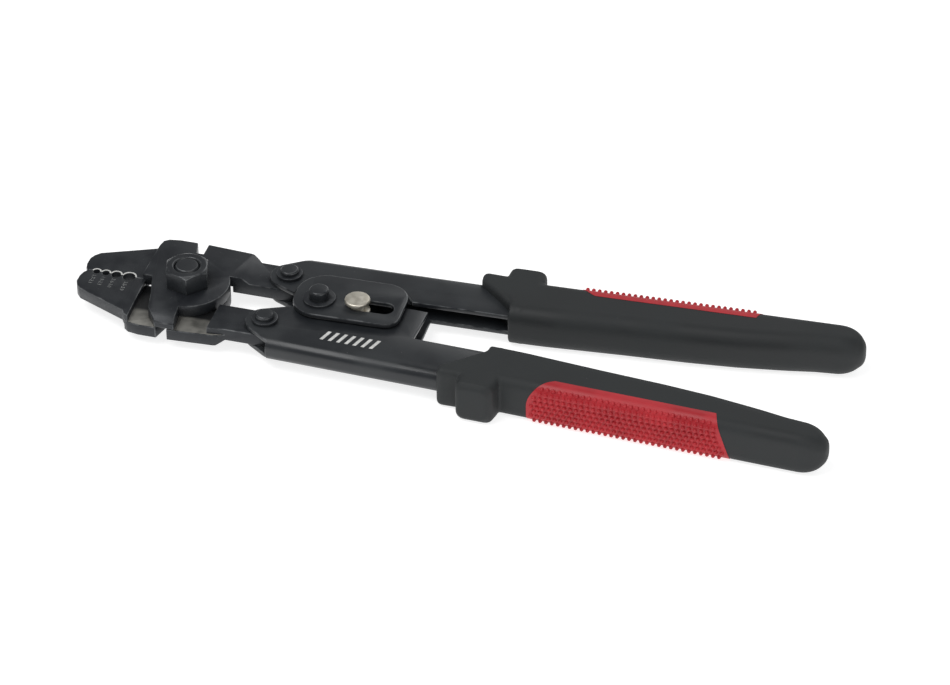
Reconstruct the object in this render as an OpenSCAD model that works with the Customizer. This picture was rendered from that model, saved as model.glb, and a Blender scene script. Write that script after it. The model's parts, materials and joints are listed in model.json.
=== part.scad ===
// Compound-lever hand crimper for wire sleeves, lying flat with its jaws closed.
// +X runs from the jaws to the handle ends, +Y is the upper handle's side, +Z is up.
// The origin is the middle of the tool's footprint, on the surface it lies on.

/* [Linkage] */
// Distance from the jaw pivot to the handle pivot
pivot_gap = 43.6; // [40:0.2:54]
// How far the link rivets sit ahead of the handle pivot
link_ahead = 13.9; // [12:0.1:17]
// How far each link rivet sits from the centre line
link_out = 12.4; // [11.4:0.1:15]
// Angle of each handle from the centre line with the jaws closed
handle_splay = 1.85; // [0:0.05:4]

/* [Jaws] */
// Length of the nose from the jaw pivot to its tip
nose_reach = 35.1; // [31:0.1:42]
// Half thickness of the hub, which is the thickness of one hub plate
hub_half = 4; // [3.4:0.1:4.8]
// Half thickness of the nose and of the tail
nose_half = 2.1; // [1.8:0.1:2.5]
// Radius of the hub plate about the jaw pivot
hub_r = 13.4; // [13:0.1:15]
// Distance from the centre line to the top edge of the hub
hub_edge = 20.8; // [19.8:0.1:22.5]
// Reach of the hub plate's leg across the centre line
leg_reach = 20.7; // [19:0.1:23]
// Height of the nose where it meets the hub
nose_root = 17.2; // [16:0.1:18.6]
// Height of the nose at its tip
nose_tip = 9.9; // [8:0.1:12]
// Width of the wire cutting notch at its mouth
notch_w = 3.8; // [3:0.1:5]
// Depth of the wire cutting notch
notch_deep = 5.2; // [4:0.1:7]
// Radius of the tail and of the handle lugs about the link rivets
tail_r = 6.2; // [5.4:0.1:6.4]
// Bore of the smallest die, next to the tip
die_1 = 2.1; // [1:0.1:2.6]
// Bore of the second die
die_2 = 2.3; // [1:0.1:2.8]
// Bore of the third die
die_3 = 3; // [2:0.1:3.4]
// Bore of the largest die
die_4 = 3.9; // [2:0.1:4.6]

/* [Handles] */
// Length of a handle from the handle pivot to the end of its grip
handle_reach = 169.8; // [150:0.2:205]
// Thickness of the pressed sheet
sheet = 1.5; // [1.2:0.1:1.8]
// Distance from the handle line to the outer face of the web
web_out = 24.2; // [22.6:0.1:27]
// Distance from the handle line to the inner edge of the flanges
flange_in = 8; // [6.4:0.1:8.8]
// Outer bend radius of the channel
bend_r = 3; // [2:0.1:3.4]
// Radius of the pivot lobes about the handle pivot
lobe_r = 8.3; // [7.4:0.1:9]
// Length of the raised lobe behind the handle pivot
raised_len = 27; // [25:0.1:31]
// Length of the plain lobe behind the handle pivot
plain_len = 33.7; // [32:0.1:38]
// How far the raised lobe is stepped above the flange
joggle_lift = 2.05; // [1.6:0.05:2.4]

/* [Slide lock] */
// Distance from the handle pivot to the lock stud when it is pushed forward
lock_near = 12.4; // [12.2:0.1:14]
// Travel of the lock stud along its slot
lock_travel = 8.8; // [5:0.1:9]
// Width of the slot
slot_w = 5.7; // [4.6:0.1:6]
// Diameter of the stud's head
stud_head_d = 8; // [6.8:0.1:9]

/* [Grips] */
// Thickness of the sheath above and below the steel
grip_over = 3.5; // [3:0.1:4.2]
// Distance from the handle pivot to the front of the collar
collar_x = 46.5; // [44:0.1:52]
// Width of the finger guard block at its foot
guard_w = 11.5; // [9:0.1:14]
// Height of the finger guard block above the collar
guard_h = 4.8; // [2:0.1:6]
// Thickness of the soft red insert
insert_t = 1.4; // [1:0.1:1.6]
// Length of the soft red insert
insert_len = 56; // [40:0.5:62]

/* [Fasteners] */
// Diameter of the jaw pivot bolt
bolt_d = 8; // [6:0.5:9]
// Width across the flats of the pivot nut and of the bolt head
nut_af = 13; // [11:0.5:14.5]
// Height of the pivot nut
nut_h = 6.4; // [5:0.1:8]
// Diameter of the link rivets' shanks
link_d = 5; // [4:0.1:5.6]
// Diameter of the centre rivet's shank
centre_d = 5.6; // [5:0.1:6.4]
// Running clearance of a pin in its bore, on the radius
run_gap = 0.05; // [0.02:0.01:0.09]

/* [Hidden] */

$fn = 72;
black_oxide = [0.17, 0.18, 0.19];
black_steel = [0.12, 0.12, 0.13];
black_rubber = [0.15, 0.16, 0.16];
red_rubber = [0.76, 0.11, 0.16];
bright_steel = [0.86, 0.85, 0.80];
eps = 0.01;
far = 60;

// Clearances: between hub plates, between tails and flanges, and at the parting line
face_gap = 0.05;
part_gap = 0.05;
// The upper link is the pivot that the modelled linkage leaves open, so its bore is wider
open_gap = 0.24;
seat_gap = 0.05;

// Channel levels, measured from the mid plane of the tool
flange_low = nose_half + 2 * face_gap;
flange_top = flange_low + sheet;
lobe_low = flange_low + joggle_lift;
lobe_top = lobe_low + sheet;
shim_t = joggle_lift - sheet - face_gap;

// The sheaths set how high the mid plane lies above the surface that the tool rests on
rest_depth = flange_top + grip_over;

// Rounded end of a sheath, and the frame that puts the origin in the middle of the tool
grip_round = 7;
grip_end_x = handle_reach - grip_round;
grip_end_y = web_out - 5.5;
back_end = pivot_gap + grip_end_x * cos(handle_splay) - grip_end_y * sin(handle_splay) + grip_round;
pivot_x = -(back_end - nose_reach) / 2;
centre_x = pivot_x + pivot_gap;

// Link rivet place in a handle's own frame, whose origin is the handle pivot
link_x = -link_ahead * cos(handle_splay) + link_out * sin(handle_splay);
link_y = link_out * cos(handle_splay) + link_ahead * sin(handle_splay);

// Jaw outline, with the jaw pivot at its origin
step_x = -15.2;
nose_wall = -14.1;
wall_x = 12.6;
tail_in = link_out - tail_r;
tail_out = link_out + tail_r;
tail_gap = 0.3;
ramp_from = 15.6;
ramp_to = 18.4;
notch_x = -4;
notch_root_w = 2.2;
leg_run = 2.6;

// Slot, lock stud, lock washer and the relief that lets the lock washer swing
lock_far = lock_near + lock_travel;
stud_neck_r = 1.7;
stud_shoulder_r = slot_w / 2 - 0.1;
stud_head_t = 1.2;
stud_head_bevel = 0.3;
stud_neck_t = 1.05;
stud_foot = 0.75;
lock_washer_r = 3.9;
lock_washer_t = 0.85;
relief_gap = 0.3;
relief_in = lock_near - lock_washer_r - relief_gap;
relief_out = lock_far + lock_washer_r + relief_gap;
relief_y = lock_washer_r + relief_gap - lock_near * sin(2 * handle_splay);

// Raised lobe: the round corners of its outer edge and the run of its joggle
lobe_far = 13.1;
lobe_corner_r = 4.5;
front_round = 9;
back_round = 8;
front_corner = [0.7, lobe_far - front_round];
back_corner = [raised_len - back_round, lobe_far - back_round];
joggle_run = 1.2;

// Steel inside the grip: the channel narrows to a tang behind its neck
neck_x = collar_x + 12;
tang_out = web_out - 1.9;
tang_end = handle_reach - 19;
tang_in = flange_in + 1.4;

// Sheath: how far its long edges are stepped in and down, and its finger guard
edge_in = 0.6;
edge_drop = 1.4;
grip_in = flange_in - 2.2;
guard_x = collar_x + 8;
collar_out = web_out + 1.5;

// Soft insert: its front end and its width on the faces
insert_x = collar_x + 31.5;
insert_w = 4.3;

// Angle that the nut and the bolt head have come to rest at
nut_turn = 46;

// Rivet heads and washers
link_washer_t = 1.1;
link_washer_d = 8.2;
link_head_t = 1.4;
link_head_d = link_d + 0.8;
centre_washer_t = 0.8;
centre_washer_d = centre_d + 4.7;
centre_head_t = 3.2;
centre_head_d = centre_d + 0.6;
pin_bevel = 0.45;

// ---------- helpers ----------

// Point at polar angle a and radius r about c
function polar(c, r, a) = c + r * [cos(a), sin(a)];

// Points of an arc from angle a to angle b
function arc(c, r, a, b, n = 8) = [for (i = [0 : n]) polar(c, r, a + (b - a) * i / n)];

// Touch point on a circle of the tangent from p; side is 1 or -1
function tangent(c, r, p, side) =
    let (d = p - c, a = atan2(d[1], d[0]), w = acos(r / norm(d)))
    polar(c, r, a + side * w);

// Unit normal on the right of the edge from a to b
function edge_normal(a, b) = [b[1] - a[1], a[0] - b[0]] / norm(b - a);

// Outline moved in by d; the points run anticlockwise
function inset(pts, d) = [
    for (i = [0 : len(pts) - 1])
        let (
            before = pts[(i + len(pts) - 1) % len(pts)],
            after = pts[(i + 1) % len(pts)],
            n1 = edge_normal(before, pts[i]),
            n2 = edge_normal(pts[i], after)
        )
        pts[i] - d * (n1 + n2) / (1 + n1 * n2)
];

// Extrusion between two heights
module slab(low, high) {
    translate([0, 0, low])
        linear_extrude(high - low)
            children();
}

// Puts a shape drawn about the jaw pivot in its place
module at_jaw_pivot() {
    translate([pivot_x, 0, rest_depth])
        children();
}

// Puts a shape drawn about the handle pivot in its place, on the centre line
module at_handle_pivot() {
    translate([centre_x, 0, rest_depth])
        children();
}

// Puts a shape drawn in a handle's own frame on the upper handle
module on_upper_handle() {
    at_handle_pivot()
        rotate(handle_splay)
            children();
}

// The lower side is the upper side turned over about the centre line
module turned_over() {
    translate([0, 0, rest_depth])
        rotate([180, 0, 0])
            translate([0, 0, -rest_depth])
                children();
}

// ---------- jaws ----------

// Hub plate with its tab above, its leg below and its round lower edge
module hub_outline() {
    tail_side = asin(tail_in / hub_r);
    leg_side = -83;
    polygon(concat(
        [[step_x, part_gap], [step_x, nose_root - 0.6]],
        [[step_x + 0.5, hub_edge - 1.7], [step_x + 2, hub_edge - 0.5]],
        [[step_x + 5.6, hub_edge + 0.1], [notch_x + notch_w, hub_edge + 0.1]],
        [[14.7, hub_edge - 0.8], [17.3, hub_edge - 1.5], [ramp_to, tail_out]],
        [[ramp_to, tail_in]],
        arc([0, 0], hub_r, tail_side, leg_side, 24),
        [[2.3, -leg_reach], [-4.1, -leg_reach]],
        [[-7.6, -leg_reach + 4.6], [-9.3, -8.9], [-12, part_gap]]
    ));
}

// Nose, from its tip to the wall that faces the other jaw's leg
module nose_outline() {
    polygon([
        [-nose_reach + 1.4, part_gap], [-nose_reach + 0.5, 1.3],
        [-nose_reach, 3.4], [-nose_reach, 6.3],
        [-nose_reach + 0.8, nose_tip - 1.7], [-nose_reach + 2.3, nose_tip],
        [step_x - 0.8, nose_root], [step_x + 0.2, nose_root + 1.6], [nose_wall + 0.9, hub_edge - 0.8],
        [nose_wall, part_gap]
    ]);
}

// Tail, from the wall behind the hub to the round eye about the link rivet
module tail_outline() {
    difference() {
        union() {
            polygon([
                [wall_x, hub_edge - 1.5], [wall_x, tail_in], [pivot_gap - link_ahead, tail_in],
                [pivot_gap - link_ahead, tail_out], [ramp_to, tail_out]
            ]);
            translate([pivot_gap - link_ahead, link_out])
                circle(tail_r);
        }
        circle(hub_r + tail_gap);
    }
}

// Half-round die grooves along the parting line
module die_grooves() {
    // Distance of each die from the tip, and its bore
    dies = [[4.5, die_1], [7.6, die_2], [11.1, die_3], [15.4, die_4]];
    for (die = dies)
        translate([die[0] - nose_reach, 0, -hub_half])
            cylinder(d = die[1], h = 2 * hub_half);
}

module jaw(link_gap) {
    difference() {
        union() {
            difference() {
                slab(face_gap, hub_half)
                    hub_outline();
                ramp_cut();
                leg_slope();
            }
            slab(-nose_half, nose_half)
                nose_outline();
            slab(-nose_half, nose_half)
                tail_outline();
        }
        die_grooves();
        wire_notch();
        translate([0, 0, -far])
            cylinder(r = bolt_d / 2 + run_gap, h = 2 * far);
        translate([pivot_gap - link_ahead, link_out, -far])
            cylinder(r = link_d / 2 + link_gap, h = 2 * far);
    }
}

// Notch for cutting wire, with one wall square to the edge and one that leans in
module wire_notch() {
    mouth = hub_edge + 1;
    root = hub_edge - notch_deep;
    right = notch_x + notch_w;
    slab(-eps, hub_half + 1)
        polygon([[notch_x, mouth], [right - notch_root_w, root], [right, root], [right, mouth]]);
}

// Slope at the end of the leg, which brings it down to the thickness of the nose
module leg_slope() {
    rotate([90, 0, 90])
        linear_extrude(2 * far, center = true)
            polygon([
                [leg_run - leg_reach, hub_half], [-leg_run - leg_reach, 2 * nose_half - hub_half],
                [-leg_run - leg_reach, hub_half + 1], [leg_run - leg_reach, hub_half + 1]
            ]);
}

// Slope where the hub runs down to the tail
module ramp_cut() {
    rotate([90, 0, 0])
        linear_extrude(2 * far, center = true)
            polygon([
                [ramp_from, hub_half], [ramp_to + 1, nose_half - 0.8],
                [ramp_to + 1, hub_half + 1], [ramp_from, hub_half + 1]
            ]);
}

module upper_jaw() {
    color(black_oxide)
        at_jaw_pivot()
            jaw(open_gap);
}

module lower_jaw() {
    color(black_oxide)
        turned_over()
            at_jaw_pivot()
                jaw(run_gap);
}

// ---------- pivot bolt and nut ----------

// Hexagon of height h with its corners bevelled on the faces that are asked for
module hex_body(h, bevel_top, bevel_bottom) {
    corner_r = nut_af / 2 / cos(30);
    rise = (corner_r - nut_af / 2 + 0.25) * tan(30);
    intersection() {
        rotate(nut_turn)
            cylinder(r = corner_r, h = h, $fn = 6);
        union() {
            translate([0, 0, bevel_bottom ? rise : 0])
                cylinder(r = corner_r + eps, h = h - rise * ((bevel_top ? 1 : 0) + (bevel_bottom ? 1 : 0)));
            if (bevel_top)
                translate([0, 0, h - rise])
                    cylinder(r1 = corner_r + eps, r2 = nut_af / 2 - 0.25, h = rise);
            if (bevel_bottom)
                cylinder(r1 = nut_af / 2 - 0.25, r2 = corner_r + eps, h = rise);
        }
    }
}

module pivot_bolt() {
    head_h = rest_depth - hub_half;
    shank = 2 * hub_half + nut_h + 0.1;
    tip = 0.9;
    color(black_steel)
        at_jaw_pivot()
            translate([0, 0, -rest_depth]) {
                hex_body(head_h, false, true);
                cylinder(d = bolt_d, h = head_h + shank - tip);
                translate([0, 0, head_h + shank - tip])
                    cylinder(d1 = bolt_d, d2 = bolt_d - 1.2, h = tip);
            }
}

module pivot_nut() {
    mouth = 0.5;
    color(black_steel)
        at_jaw_pivot()
            translate([0, 0, hub_half])
                difference() {
                    hex_body(nut_h, true, false);
                    translate([0, 0, -eps])
                        cylinder(r = bolt_d / 2 + seat_gap, h = nut_h + 1);
                    translate([0, 0, nut_h - mouth])
                        cylinder(d1 = bolt_d, d2 = bolt_d + 2 * mouth, h = mouth + eps);
                }
}

// ---------- handles ----------

// Channel section, open towards the centre line, with its web's outer face at out
module channel_section(out) {
    difference() {
        union() {
            translate([-lobe_r - 2, -flange_top])
                square([out - bend_r + lobe_r + 2, 2 * flange_top]);
            translate([out - bend_r - eps, bend_r - flange_top])
                square([bend_r + eps, 2 * (flange_top - bend_r)]);
            for (side = [-1, 1])
                translate([out - bend_r, side * (flange_top - bend_r)])
                    circle(bend_r);
        }
        translate([-lobe_r - 3, -flange_low])
            square([out - sheet + lobe_r + 3, 2 * flange_low]);
    }
}

// A straight length of channel from x = from to x = to
module channel(from, to, out) {
    translate([from, 0, 0])
        rotate([90, 0, 90])
            linear_extrude(to - from)
                channel_section(out);
}

// Flange outline: lug about the link rivet, long strip and narrowing tang
module flange_outline() {
    link = [link_x, link_y];
    corner = [-9.6, web_out - bend_r * 0.5];
    neck = polar([0, 0], lobe_r - 0.4, 158);
    polygon([
        tangent(link, tail_r, corner, 1), corner, [corner[0], web_out],
        [neck_x, web_out], [neck_x + 2, tang_out], [tang_end, tang_out],
        [tang_end, tang_in + 5.2], [tang_end - 22, tang_in + 2.2],
        [neck_x + 36, tang_in], [neck_x + 3, flange_in],
        [plain_len * 0.5, flange_in], [0, 0], neck,
        tangent(link, tail_r, neck, -1), link
    ]);
    translate(link)
        circle(tail_r);
}

// Raised lobe outline; grow widens it to the foot of its joggle
module raised_outline(grow) {
    low_corner = [raised_len - lobe_corner_r, lobe_corner_r - lobe_r];
    polygon([
        [-lobe_r - grow, 0], [front_corner[0] - front_round - grow, front_corner[1]],
        [front_corner[0], lobe_far + grow], [back_corner[0], lobe_far + grow],
        [raised_len + grow, back_corner[1]], [raised_len + grow, low_corner[1]],
        [low_corner[0], -lobe_r - grow], [0, -lobe_r - grow]
    ]);
    circle(lobe_r + grow);
    translate(front_corner)
        circle(front_round + grow);
    translate(back_corner)
        circle(back_round + grow);
    translate(low_corner)
        circle(lobe_corner_r + grow);
}

// Plain lobe: an eye about the pivot, an arm and the opening that the lock washer swings through
module plain_outline() {
    difference() {
        union() {
            circle(lobe_r);
            translate([0, -lobe_r + 2])
                square([plain_len, lobe_r - 2 + flange_in + 1]);
        }
        difference() {
            translate([0, relief_y - far])
                square(far);
            circle(relief_in);
            difference() {
                circle(far);
                circle(relief_out);
            }
        }
    }
}

// Sloped wall between the flange and the raised lobe
module joggle() {
    inner_end = asin((flange_in - back_corner[1]) / back_round);
    translate(front_corner)
        rotate(90)
            rotate_extrude(angle = 90)
                joggle_section(front_round);
    translate(back_corner)
        rotate(inner_end)
            rotate_extrude(angle = 90 - inner_end)
                joggle_section(back_round);
    translate([front_corner[0] - eps, lobe_far, 0])
        rotate([90, 0, 90])
            linear_extrude(back_corner[0] - front_corner[0] + 2 * eps)
                joggle_section(0);
}

// Section through the joggle, whose upper edge is at distance r
module joggle_section(r) {
    foot = r + joggle_run;
    polygon([
        [r - 0.7, lobe_low], [r - 0.7, lobe_top], [r, lobe_top],
        [foot, flange_top], [foot + 0.4, flange_top], [foot + 0.4, flange_low],
        [foot - 0.7, flange_low], [r - 0.5, lobe_low]
    ]);
}

// One pressed handle, drawn as the upper one: raised lobe above, plain lobe below
module handle() {
    bore = centre_d / 2 + run_gap;
    difference() {
        union() {
            intersection() {
                union() {
                    channel(link_x - tail_r - 1, neck_x + 1, web_out);
                    channel(neck_x - 1, tang_end, tang_out);
                }
                union() {
                    slab(0, flange_top + 1)
                        difference() {
                            flange_outline();
                            raised_outline(joggle_run);
                        }
                    slab(-flange_top - 1, 0)
                        union() {
                            flange_outline();
                            plain_outline();
                        }
                }
            }
            slab(lobe_low, lobe_top)
                raised_outline(0);
            joggle();
        }
        translate([0, 0, -far])
            cylinder(r = bore, h = 2 * far);
        translate([link_x, link_y, -far])
            cylinder(r = link_d / 2 + seat_gap, h = 2 * far);
        slot();
    }
}

// Slot for the lock stud, through the raised lobe
module slot() {
    slab(flange_top + 0.1, far)
        union() {
            translate([lock_near, -slot_w / 2])
                square([lock_travel, slot_w]);
            translate([lock_near, 0])
                circle(d = slot_w);
            translate([lock_far, 0])
                circle(d = slot_w);
        }
}

module upper_handle() {
    color(black_steel)
        on_upper_handle()
            handle();
}

module lower_handle() {
    color(black_steel)
        turned_over()
            on_upper_handle()
                handle();
}

// ---------- grips ----------

// Outer edge of the sheath at distance x from the handle pivot
function grip_edge(x) = web_out + 0.4 + 0.013 * (x - guard_x - guard_w);

// Outline of the sheath, anticlockwise from the inner front corner
function grip_points() =
    let (
        guard_back = guard_x + guard_w,
        guard_top = collar_out + guard_h,
        end = [grip_end_x, grip_end_y],
        shift = 3.4
    )
    concat(
        [[collar_x + 15, grip_in], [collar_x + 23, grip_in + 0.2], [collar_x + 49, grip_in + 1.8]],
        [[grip_end_x - 47, grip_in + 2.8], [grip_end_x - 32, grip_in + 4]],
        [[grip_end_x - 17, grip_in + 6], [grip_end_x - 4, grip_in + 7.8]],
        arc(polar(end, shift, -25), grip_round - shift, -82, -25, 5),
        arc(end, grip_round, -20, 86, 9),
        [[guard_back + 0.6, grip_edge(guard_back)], [guard_back - 1, guard_top - 0.7]],
        [[guard_back - 2, guard_top], [guard_x + 3.2, guard_top]],
        [[guard_x + 0.9, guard_top - 1], [guard_x, collar_out + 0.1], [collar_x, collar_out]],
        [[collar_x + 0.4, collar_out - 4.6], [collar_x + 3.6, collar_out - 6.8]],
        [[collar_x + 14.2, grip_in + 2.4]]
    );

// Soft insert in plan: it hugs the outer edge between a rounded front and a raked back
function insert_points(gap) =
    let (back = insert_x + insert_len)
    [
        [insert_x + 4 - gap, grip_edge(insert_x) - insert_w - gap],
        [back + gap, grip_edge(back) - insert_w - gap],
        [back + 4 + gap, grip_edge(back) + insert_w],
        [insert_x - gap, grip_edge(insert_x) + insert_w]
    ];

// The insert wraps the sheath's outer edge at its own thickness; gap widens it to its seat
module insert_shape(gap) {
    core = rest_depth - insert_t - gap;
    difference() {
        slab(-rest_depth - 1, rest_depth + 1)
            polygon(insert_points(gap));
        slab(-core, core)
            polygon([
                [collar_x, 0], [grip_end_x, 0],
                [grip_end_x, grip_edge(grip_end_x) - insert_t - gap],
                [collar_x, grip_edge(collar_x) - insert_t - gap]
            ]);
    }
}

// Sheath with its long edges stepped in
module grip_solid() {
    slab(-rest_depth + edge_drop, rest_depth - edge_drop)
        polygon(grip_points());
    slab(-rest_depth, rest_depth)
        polygon(inset(grip_points(), edge_in));
}

// Room for the steel inside the sheath
module steel_room() {
    back = tang_end + seat_gap;
    slab(-flange_top - seat_gap, flange_top + seat_gap)
        polygon([
            [collar_x - 5, flange_in - seat_gap], [neck_x + 3, flange_in - seat_gap],
            [neck_x + 36, tang_in - seat_gap], [tang_end - 22, tang_in + 2.2 - seat_gap],
            [back, tang_in + 5.2 - seat_gap], [back, tang_out + seat_gap],
            [neck_x + 2 + seat_gap, tang_out + seat_gap], [neck_x + seat_gap, web_out + seat_gap],
            [collar_x - 5, web_out + seat_gap]
        ]);
}

module grip() {
    difference() {
        grip_solid();
        steel_room();
        insert_shape(seat_gap);
    }
}

module grip_insert() {
    intersection() {
        grip_solid();
        insert_shape(0);
    }
}

module upper_grip() {
    color(black_rubber)
        on_upper_handle()
            grip();
}

module lower_grip() {
    color(black_rubber)
        turned_over()
            on_upper_handle()
                grip();
}

module upper_grip_insert() {
    color(red_rubber)
        on_upper_handle()
            grip_insert();
}

module lower_grip_insert() {
    color(red_rubber)
        turned_over()
            on_upper_handle()
                grip_insert();
}

// ---------- rivets and washers ----------

// Straight pin head with a bevelled rim
module pin_head(d, h) {
    cylinder(d = d, h = h - pin_bevel);
    translate([0, 0, h - pin_bevel])
        cylinder(d1 = d, d2 = d - 2 * pin_bevel, h = pin_bevel);
}

module washer(d, bore_r, t) {
    difference() {
        cylinder(d = d, h = t);
        translate([0, 0, -1])
            cylinder(r = bore_r, h = t + 2);
    }
}

module link_rivet() {
    top = flange_top + link_washer_t;
    translate([link_x, link_y, 0]) {
        translate([0, 0, -top])
            cylinder(d = link_d, h = 2 * top);
        translate([0, 0, top])
            pin_head(link_head_d, link_head_t);
        rotate([180, 0, 0])
            translate([0, 0, top])
                pin_head(link_head_d, link_head_t);
    }
}

module link_washers() {
    for (side = [0, 180])
        translate([link_x, link_y, 0])
            rotate([side, 0, 0])
                translate([0, 0, flange_top])
                    washer(link_washer_d, link_d / 2 + seat_gap, link_washer_t);
}

module upper_link_rivet() {
    color(black_steel)
        on_upper_handle()
            link_rivet();
}

module lower_link_rivet() {
    color(black_steel)
        turned_over()
            on_upper_handle()
                link_rivet();
}

module upper_link_washers() {
    color(black_oxide)
        on_upper_handle()
            link_washers();
}

module lower_link_washers() {
    color(black_oxide)
        turned_over()
            on_upper_handle()
                link_washers();
}

module centre_rivet() {
    low_head_t = rest_depth - lobe_top;
    top = lobe_top + centre_washer_t;
    color(black_steel)
        at_handle_pivot() {
            translate([0, 0, -rest_depth])
                cylinder(d = centre_washer_d, h = low_head_t);
            translate([0, 0, -lobe_top - eps])
                cylinder(d = centre_d, h = lobe_top + top + 2 * eps);
            translate([0, 0, top])
                pin_head(centre_head_d, centre_head_t);
        }
}

module centre_washer() {
    color(black_oxide)
        at_handle_pivot()
            translate([0, 0, lobe_top])
                washer(centre_washer_d, centre_d / 2 + seat_gap, centre_washer_t);
}

module centre_spacer() {
    color(black_oxide)
        at_handle_pivot()
            translate([0, 0, face_gap - flange_low])
                washer(centre_d + 4, centre_d / 2 + seat_gap, 2 * (flange_low - face_gap));
}

module centre_shims() {
    color(bright_steel)
        at_handle_pivot()
            for (side = [0, 180])
                rotate([side, 0, 0])
                    translate([0, 0, flange_top + face_gap / 2])
                        washer(centre_d + 5, centre_d / 2 + seat_gap, shim_t);
}

// ---------- slide lock ----------

module lock_stud() {
    low = lobe_low - lock_washer_t - stud_foot;
    shoulder_top = lobe_top + 0.15;
    head_low = shoulder_top + stud_neck_t;
    rim = stud_head_t - stud_head_bevel;
    color(bright_steel)
        on_upper_handle()
            translate([lock_near, 0, 0]) {
                translate([0, 0, low])
                    cylinder(r = stud_neck_r, h = head_low - low + eps);
                translate([0, 0, lobe_low])
                    cylinder(r = stud_shoulder_r, h = shoulder_top - lobe_low);
                translate([0, 0, head_low])
                    cylinder(d = stud_head_d, h = rim);
                translate([0, 0, head_low + rim])
                    cylinder(d1 = stud_head_d, d2 = stud_head_d - 2 * stud_head_bevel, h = stud_head_bevel);
            }
}

module lock_washer() {
    color(bright_steel)
        on_upper_handle()
            translate([lock_near, 0, lobe_low - lock_washer_t - 0.1])
                washer(2 * lock_washer_r, stud_neck_r + seat_gap, lock_washer_t);
}

upper_jaw();
lower_jaw();
pivot_bolt();
pivot_nut();
upper_handle();
lower_handle();
upper_grip();
lower_grip();
upper_grip_insert();
lower_grip_insert();
upper_link_rivet();
lower_link_rivet();
upper_link_washers();
lower_link_washers();
centre_rivet();
centre_washer();
centre_spacer();
centre_shims();
lock_stud();
lock_washer();
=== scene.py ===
"""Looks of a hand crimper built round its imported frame.

The frame gives every steel piece its place and size. This script rounds the steel's edges, moulds the
grips, studs the inserts, cuts the die numbers and gives each surface its finish.
"""

from __future__ import annotations

import json
import logging
import math
from dataclasses import dataclass, field
from enum import Enum
from typing import Callable, Sequence

import bmesh
import bpy
from mathutils import Matrix, Vector

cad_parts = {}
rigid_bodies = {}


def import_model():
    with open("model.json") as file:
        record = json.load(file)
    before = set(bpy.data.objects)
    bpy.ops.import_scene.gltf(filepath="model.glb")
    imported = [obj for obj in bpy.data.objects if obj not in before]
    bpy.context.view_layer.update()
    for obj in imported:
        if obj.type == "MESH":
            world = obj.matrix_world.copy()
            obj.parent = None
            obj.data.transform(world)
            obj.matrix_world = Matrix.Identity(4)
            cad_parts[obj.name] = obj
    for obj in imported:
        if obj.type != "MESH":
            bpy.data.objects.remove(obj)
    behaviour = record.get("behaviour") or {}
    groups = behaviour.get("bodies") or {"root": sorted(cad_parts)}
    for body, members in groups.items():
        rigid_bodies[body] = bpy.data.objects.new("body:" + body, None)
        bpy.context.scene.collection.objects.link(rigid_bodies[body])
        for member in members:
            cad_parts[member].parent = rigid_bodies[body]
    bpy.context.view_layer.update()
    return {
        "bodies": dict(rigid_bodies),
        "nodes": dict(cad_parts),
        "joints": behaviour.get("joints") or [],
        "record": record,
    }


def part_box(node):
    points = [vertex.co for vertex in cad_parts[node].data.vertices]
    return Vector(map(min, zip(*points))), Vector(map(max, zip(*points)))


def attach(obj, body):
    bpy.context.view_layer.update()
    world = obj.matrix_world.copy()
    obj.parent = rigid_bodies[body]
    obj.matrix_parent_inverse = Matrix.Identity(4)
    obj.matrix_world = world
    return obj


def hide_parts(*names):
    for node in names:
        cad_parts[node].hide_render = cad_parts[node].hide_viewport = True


log = logging.getLogger("crimper")

MM = 0.001
FRAME_WIDTH_PX = 950
Colour = tuple[float, float, float, float]
# Near black for a hub floor past dark_from: the unground oxide, darkened further as painted shade under
# the nose wall and the upper hub.
OXIDE_AND_SHADE: Colour = (0.006, 0.0065, 0.007, 1)


# ---------- shaders ----------


class Tone:
    """A number on a shader socket, so that shader maths reads as Python."""

    def __init__(self, shader: "Shader", socket: bpy.types.NodeSocket) -> None:
        """Wraps socket, which belongs to shader."""
        self.shader = shader
        self.socket = socket

    def _with(self, operation: str, left: object, right: object) -> "Tone":
        """Adds a Math node that joins left and right by operation."""
        node = self.shader.node("ShaderNodeMath", {"operation": operation}, {0: left, 1: right})
        return Tone(self.shader, node.outputs[0])

    def __add__(self, other: object) -> "Tone":
        """Sum."""
        return self._with("ADD", self, other)

    def __sub__(self, other: object) -> "Tone":
        """Difference."""
        return self._with("SUBTRACT", self, other)

    def __rsub__(self, other: object) -> "Tone":
        """Difference from a number."""
        return self._with("SUBTRACT", other, self)

    def __mul__(self, other: object) -> "Tone":
        """Product."""
        return self._with("MULTIPLY", self, other)

    __radd__ = __add__
    __rmul__ = __mul__

    def between(self, low: float, high: float) -> "Tone":
        """Stretches the stretch from low to high over 0 to 1, with soft ends.

        Args:
            low: the value that becomes 0.
            high: the value that becomes 1.

        Returns:
            The stretched tone.
        """
        settings = {"interpolation_type": "SMOOTHSTEP"}
        node = self.shader.node("ShaderNodeMapRange", settings, {0: self, 1: low, 2: high})
        return Tone(self.shader, node.outputs[0])


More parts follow.
